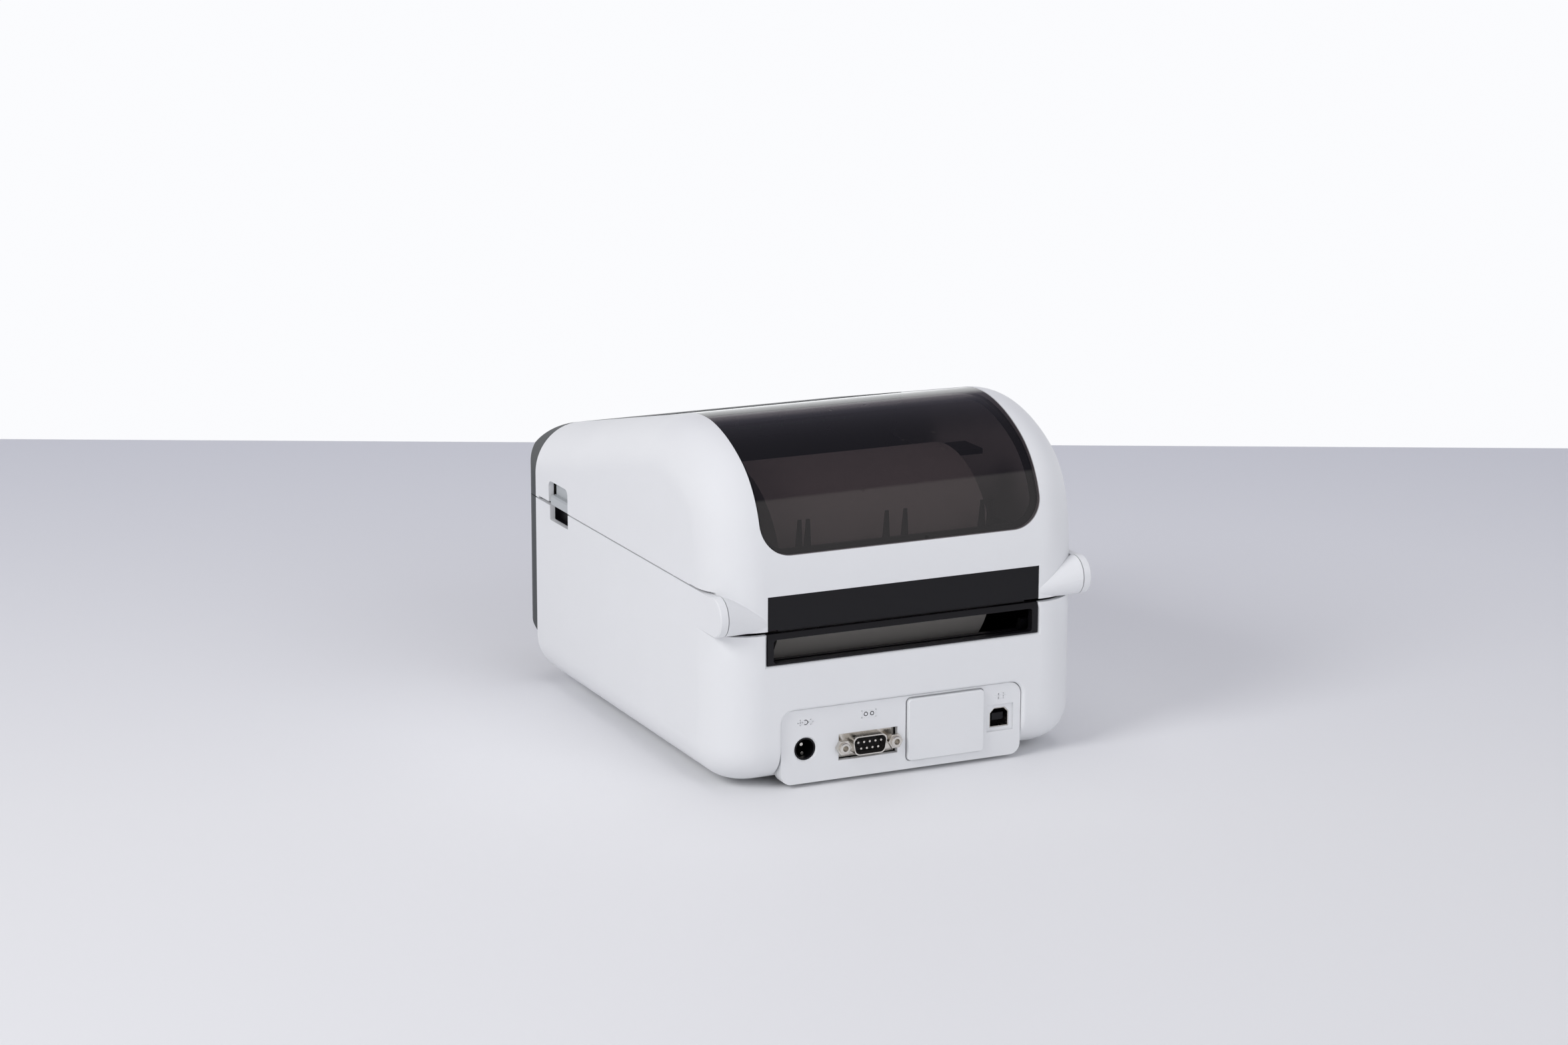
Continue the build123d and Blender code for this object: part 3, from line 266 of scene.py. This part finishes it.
roll_low, roll_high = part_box("label_roll")
roll_axis = (roll_low + roll_high) / 2
ALONG_X = (0.04, 1, 1)          # stretches brushed lines along X
materials = {
    "white_shell": moulded_plastic("white_shell", (0.80, 0.81, 0.825), 0.42, grain=0.45, depth=0.006,
                                   shade=0.975),
    "black_plastic": moulded_plastic("black_plastic", (0.0065, 0.0062, 0.0080), 0.34, grain=0.4, gloss=0.24),
    "dark_front": moulded_plastic("dark_front", (0.052, 0.057, 0.059), 0.45, grain=0.35, gloss=0.3),
    "grey_plastic": moulded_plastic("grey_plastic", (0.42, 0.43, 0.45), 0.5, grain=0.6),
    "steel": metal("steel", (0.58, 0.58, 0.60), 0.30, stretch=ALONG_X),
    "foot_rubber": rubber("foot_rubber", (0.36, 0.37, 0.39), 0.75),
    "board_green": circuit_board("board_green", (0.010, 0.10, 0.035)),
    "nickel": metal("nickel", (0.74, 0.71, 0.66), 0.20, stretch=(1, 0.2, 1), depth=0.001),
    "bushing_plastic": moulded_plastic("bushing_plastic", (0.70, 0.69, 0.64), 0.42),
    "platen_rubber": rubber("platen_rubber", (0.025, 0.025, 0.027), 0.62),
    "gear_plastic": moulded_plastic("gear_plastic", (0.74, 0.73, 0.69), 0.40, grain=0.8),
    "brass_gear": metal("brass_gear", (0.78, 0.55, 0.22), 0.28),
    "motor_metal": metal("motor_metal", (0.10, 0.10, 0.11), 0.45, stretch=ALONG_X, depth=0.01),
    # label paper coloured dim grey-brown rather than its own white: painted shade for the dim light inside
    # the case
    "label_paper": wound_paper("label_paper", (0.60, 0.575, 0.55), roll_axis.y, roll_axis.z),
    "core_card": card("core_card", (0.40, 0.27, 0.15)),
    "smoked_window": smoked_window("smoked_window", (0.51, 0.48, 0.485)),
    "button_grey": moulded_plastic("button_grey", (0.22, 0.23, 0.25), 0.42),
    "light_pipe": clear_pipe("light_pipe", (0.72, 0.80, 0.77)),
    "head_alloy": metal("head_alloy", (0.66, 0.67, 0.68), 0.36, stretch=ALONG_X, depth=0.006),
    "head_ceramic": moulded_plastic("head_ceramic", (0.09, 0.10, 0.11), 0.12, grain=1.2, depth=0.002),
    "lever_grey": moulded_plastic("lever_grey", (0.48, 0.505, 0.52), 0.42),
}

slot_of = {part["node"]: part["material_slot"] for part in frame["record"]["subparts"]}
for node, piece in frame["nodes"].items():
    piece.data.materials.clear()
    piece.data.materials.append(materials[slot_of[node]])


# ---------------------------------------------------------------- raised signs on the connector panel
STROKE_WIDTH, STROKE_HEIGHT, STROKE_SINK = 0.32, 0.14, 0.05     # in millimetres


def stroke(mesh, points):
    """Add a raised line through points on the panel, given as (x, z) in millimetres, as closed boxes."""
    for (x0, z0), (x1, z1) in zip(points, points[1:]):
        length = math.hypot(x1 - x0, z1 - z0)
        along = Vector(((x1 - x0) / length, 0, (z1 - z0) / length))
        across = Vector((-along.z, 0, along.x)) * (STROKE_WIDTH / 2 * MM)
        start = Vector((x0 * MM, 0, z0 * MM)) - along * (STROKE_WIDTH / 2 * MM)
        stop = Vector((x1 * MM, 0, z1 * MM)) + along * (STROKE_WIDTH / 2 * MM)
        lift = Vector((0, STROKE_HEIGHT * MM, 0))
        sink = Vector((0, STROKE_SINK * MM, 0))
        foot = [start - across, stop - across, stop + across, start + across]
        ring = [mesh.verts.new(p - sink) for p in foot]
        top = [mesh.verts.new(p + lift) for p in foot]
        mesh.faces.new(top)
        mesh.faces.new(ring[::-1])
        for i in range(4):
            mesh.faces.new((ring[i], ring[(i + 1) % 4], top[(i + 1) % 4], top[i]))


def circle(x, z, radius, start=0, turn=360, steps=20):
    angles = [math.radians(start + turn * i / steps) for i in range(steps + 1)]
    return [(x + radius * math.cos(a), z + radius * math.sin(a)) for a in angles]


def diamond(x, z, reach):
    return [(x - reach, z), (x, z + reach), (x + reach, z), (x, z - reach), (x - reach, z)]


relief_white = moulded_plastic("relief_white", (0.80, 0.81, 0.825), 0.42, grain=0.45, depth=0.004,
                               shade=0.975, soft_edge=0.04)


def panel_sign(name, lines):
    """One generic sign, standing proud of the connector panel and fixed to it."""
    mesh = bmesh.new()
    for points in lines:
        stroke(mesh, points)
    bmesh.ops.recalc_face_normals(mesh, faces=mesh.faces)
    data = bpy.data.meshes.new(name)
    mesh.to_mesh(data)
    mesh.free()
    sign = bpy.data.objects.new(name, data)
    data.materials.append(relief_white)
    scene.collection.objects.link(sign)
    sign.location = (0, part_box("connector_panel")[1].y, 0)
    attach(sign, "base")


panel_sign("sign_power", [
    diamond(44.6, 29.4, 1.1), circle(47.1, 29.4, 1.0, 50, 260), diamond(49.6, 29.4, 1.1),
    [(45.7, 29.4), (46.1, 29.4)], [(47.1, 29.4), (48.5, 29.4)], [(43.9, 29.4), (45.3, 29.4)],
    [(49.0, 29.4), (50.2, 29.4)], [(49.6, 28.8), (49.6, 30.0)]])
panel_sign("sign_serial", [
    [(13.1, 28.1), (19.9, 28.1), (19.9, 31.1), (13.1, 31.1), (13.1, 28.1)],
    circle(15.0, 29.6, 0.8), circle(18.0, 29.6, 0.8)])
panel_sign("sign_data", [
    [(-51.6, 29.6), (-50.0, 29.6)],
    [(-50.0, 28.5), (-50.0, 30.7), (-47.6, 30.7), (-47.6, 28.5), (-50.0, 28.5)],
    [(-47.6, 30.1), (-46.2, 30.1)], [(-47.6, 29.1), (-46.2, 29.1)]])


# ---------------------------------------------------------------- coil springs over the print head
COIL_STEPS = 20                 # points in one turn
CLOSED_END = 0.12               # share of the wire in each closed end
FLAT_RISE = 0.02                # share of the height taken by each closed end


def coil_spring(name, centre, foot, top, radius, wire, turns):
    """A compression spring along Z with closed ends, as a mesh."""
    curve = bpy.data.curves.new(name, "CURVE")
    curve.dimensions, curve.bevel_depth, curve.bevel_resolution = "3D", wire, 3
    steps = turns * COIL_STEPS
    path = curve.splines.new("POLY")
    path.points.add(steps)
    for i, point in enumerate(path.points):
        angle, part = 2 * math.pi * i / COIL_STEPS, i / steps
        climb = (part - CLOSED_END) / (1 - 2 * CLOSED_END)
        rise = min(max(climb, FLAT_RISE * part), 1 - FLAT_RISE + FLAT_RISE * part)
        point.co = (centre.x + radius * math.cos(angle), centre.y + radius * math.sin(angle),
                    foot + wire + (top - foot - 2 * wire) * rise, 1.0)
    holder = bpy.data.objects.new(name + "_path", curve)
    scene.collection.objects.link(holder)
    bpy.context.view_layer.update()
    mesh = bpy.data.meshes.new_from_object(holder.evaluated_get(bpy.context.evaluated_depsgraph_get()))
    bpy.data.objects.remove(holder)
    for face in mesh.polygons:
        face.use_smooth = True
    mesh.materials.clear()
    mesh.materials.append(materials["steel"])
    spring = bpy.data.objects.new(name, mesh)
    scene.collection.objects.link(spring)
    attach(spring, "cover")
    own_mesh(spring)
    return spring


spring_low, spring_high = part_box("head_springs")
sleeve = (spring_high.y - spring_low.y) / 2
spring_wire = 0.42 * MM
for side, x in (("left", spring_high.x - sleeve), ("right", spring_low.x + sleeve)):
    middle = Vector((x, (spring_low.y + spring_high.y) / 2, 0))
    spring = coil_spring(f"coil_{side}", middle, spring_low.z, spring_high.z,
                         sleeve - spring_wire, spring_wire, turns=5)
    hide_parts("head_springs")


# ---------------------------------------------------------------- camera
CAMERA_SPOT = (0.7400, 1.5509, 0.5160)


def place_camera():
    """From behind, above and the +X side, with a long lens."""
    azimuth, elevation, tilt = (math.radians(angle) for angle in (154.713, 13.939, 0.193))
    data = bpy.data.cameras.new("camera")
    data.sensor_width = 36.0
    data.lens = 88.76
    data.clip_start, data.clip_end = 0.05, 50.0
    camera = bpy.data.objects.new("camera", data)
    turn = (Matrix.Rotation(azimuth, 4, "Z") @ Matrix.Rotation(math.pi / 2 - elevation, 4, "X")
            @ Matrix.Rotation(tilt, 4, "Z"))
    camera.matrix_world = Matrix.Translation(CAMERA_SPOT) @ turn
    scene.collection.objects.link(camera)
    scene.camera = camera
    return camera


def level_towards(camera):
    """The level direction from the object towards the camera."""
    towards = camera.matrix_world.to_3x3() @ Vector((0, 0, 1))
    return Vector((towards.x, towards.y, 0)).normalized()


# ---------------------------------------------------------------- stage and light
def make_floor(camera):
    """A pale table top that ends in a straight edge beyond the object, with painted shade: darker and bluer
    towards its far edge, lighter towards the camera side.
    """
    far, near, half = -0.558, 6.0, 6.0
    tilt = math.radians(-0.65)
    forward = level_towards(camera)
    aside = Matrix.Rotation(tilt, 3, "Z") @ Vector((-forward.y, forward.x, 0))
    corners = [forward * far - aside * half, forward * far + aside * half,
               forward * near + aside * half, forward * near - aside * half]
    mesh = bpy.data.meshes.new("floor")
    mesh.from_pydata([tuple(c) for c in corners], [], [(0, 1, 2, 3)])
    floor = bpy.data.objects.new("floor", mesh)
    scene.collection.objects.link(floor)
    # far-edge colour: painted shade, darker and bluer than the painted light on the near part
    recipe = Recipe("floor", (0.76, 0.775, 0.83), 0.6)
    along = recipe.node("ShaderNodeVectorMath", operation="DOT_PRODUCT")
    recipe.feed(along.inputs[0], recipe.place)
    along.inputs[1].default_value = forward
    # painted light and shade: the floor colour runs from the far edge's shade to a lighter, lit near part
    painted_light_falloff = recipe.span(along.outputs["Value"], 0.0, 1.0, far, 0.15)
    recipe.paint(recipe.tint(painted_light_falloff, (0.88, 0.885, 0.895)))
    grain = recipe.noise(1.5 * MM, detail=3.0)
    recipe.feed(recipe.shader.inputs["Roughness"], recipe.span(grain, 0.55, 0.65))
    recipe.relief(grain, 0.01 * MM)
    mesh.materials.append(recipe.material)


def make_world(camera):
    """White beyond the object, a lit wall behind the camera, and dark over both."""
    world = bpy.data.worlds.new("studio")
    scene.world = world
    world.use_nodes = True
    tree = world.node_tree
    tree.nodes.clear()

    def node(kind, **settings):
        made = tree.nodes.new(kind)
        for key, value in settings.items():
            setattr(made, key, value)
        return made

    def link(a, b):
        tree.links.new(a, b)

    def ramp(value, stops):
        made = node("ShaderNodeValToRGB")
        band = made.color_ramp
        while len(band.elements) < len(stops):
            band.elements.new(0.5)
        for element, (spot, level) in zip(band.elements, stops):
            element.position = spot
            element.color = (*level, 1.0)
        link(value, made.inputs[0])
        return made.outputs[0]

    direction = node("ShaderNodeTexCoord").outputs["Generated"]
    dot = node("ShaderNodeVectorMath", operation="DOT_PRODUCT")
    link(direction, dot.inputs[0])
    dot.inputs[1].default_value = level_towards(camera)
    split = node("ShaderNodeSeparateXYZ")
    link(direction, split.inputs[0])
    half_dot = node("ShaderNodeMath", operation="MULTIPLY_ADD")
    link(dot.outputs["Value"], half_dot.inputs[0])
    half_dot.inputs[1].default_value, half_dot.inputs[2].default_value = 0.5, 0.5
    half_up = node("ShaderNodeMath", operation="MULTIPLY_ADD")
    link(split.outputs["Z"], half_up.inputs[0])
    half_up.inputs[1].default_value, half_up.inputs[2].default_value = 0.5, 0.5
    wall, dark, white = (0.70, 0.69, 0.71), (0.22, 0.215, 0.27), (0.97, 0.985, 1.0)
    # heights run from 0 straight down to 1 straight up
    camera_side = ramp(half_up.outputs[0], [(0.0, wall), (0.825, wall), (0.84, dark), (1.0, dark)])
    far_side = ramp(half_up.outputs[0], [(0.0, white), (0.61, white), (0.69, dark), (1.0, dark)])
    side_mix = ramp(half_dot.outputs[0], [(0.0, (0, 0, 0)), (0.30, (0, 0, 0)), (0.52, (1, 1, 1)),
                                          (1.0, (1, 1, 1))])
    mix = node("ShaderNodeMix", data_type="RGBA")
    link(side_mix, mix.inputs[0])
    link(far_side, mix.inputs[6])
    link(camera_side, mix.inputs[7])
    lit = node("ShaderNodeBackground")
    link(mix.outputs[2], lit.inputs["Color"])
    path = node("ShaderNodeLightPath")
    strength = node("ShaderNodeMath", operation="MULTIPLY_ADD")     # weaker as fill than in mirrors
    link(path.outputs["Is Glossy Ray"], strength.inputs[0])
    mirrored_extra, fill = 0.2, 0.8
    strength.inputs[1].default_value, strength.inputs[2].default_value = mirrored_extra, fill
    link(strength.outputs[0], lit.inputs["Strength"])
    seen = node("ShaderNodeBackground")
    seen.inputs["Color"].default_value = (0.965, 0.97, 0.99, 1.0)
    seen.inputs["Strength"].default_value = 1.0
    blend = node("ShaderNodeMixShader")
    link(path.outputs["Is Camera Ray"], blend.inputs[0])
    link(lit.outputs[0], blend.inputs[1])
    link(seen.outputs[0], blend.inputs[2])
    output = node("ShaderNodeOutputWorld")
    link(blend.outputs[0], output.inputs["Surface"])


def softbox(name, spot, aim, size, power, colour=(1.0, 1.0, 1.0)):
    """A square diffuser lamp that isn't mirrored in the window."""
    data = bpy.data.lights.new(name, "AREA")
    data.shape, data.size = "SQUARE", size
    data.energy, data.color = power, colour
    lamp = bpy.data.objects.new(name, data)
    lamp.location = spot
    lamp.rotation_euler = (Vector(aim) - Vector(spot)).to_track_quat("-Z", "Y").to_euler()
    lamp.visible_glossy = False
    scene.collection.objects.link(lamp)


camera = place_camera()
make_floor(camera)
make_world(camera)
softbox("key", (1.7, 0.6, 1.25), (0, 0, 0.06), 0.8, 17.5)
softbox("overhead", (-0.1, -0.2, 1.9), (0, 0, 0.1), 1.6, 11.0)
softbox("rear_fill", (-0.5, 2.2, 1.1), (0, 0, 0.06), 1.4, 11.0, (0.93, 0.96, 1.0))
scene.view_settings.view_transform = "Standard"
scene.view_settings.look = "None"
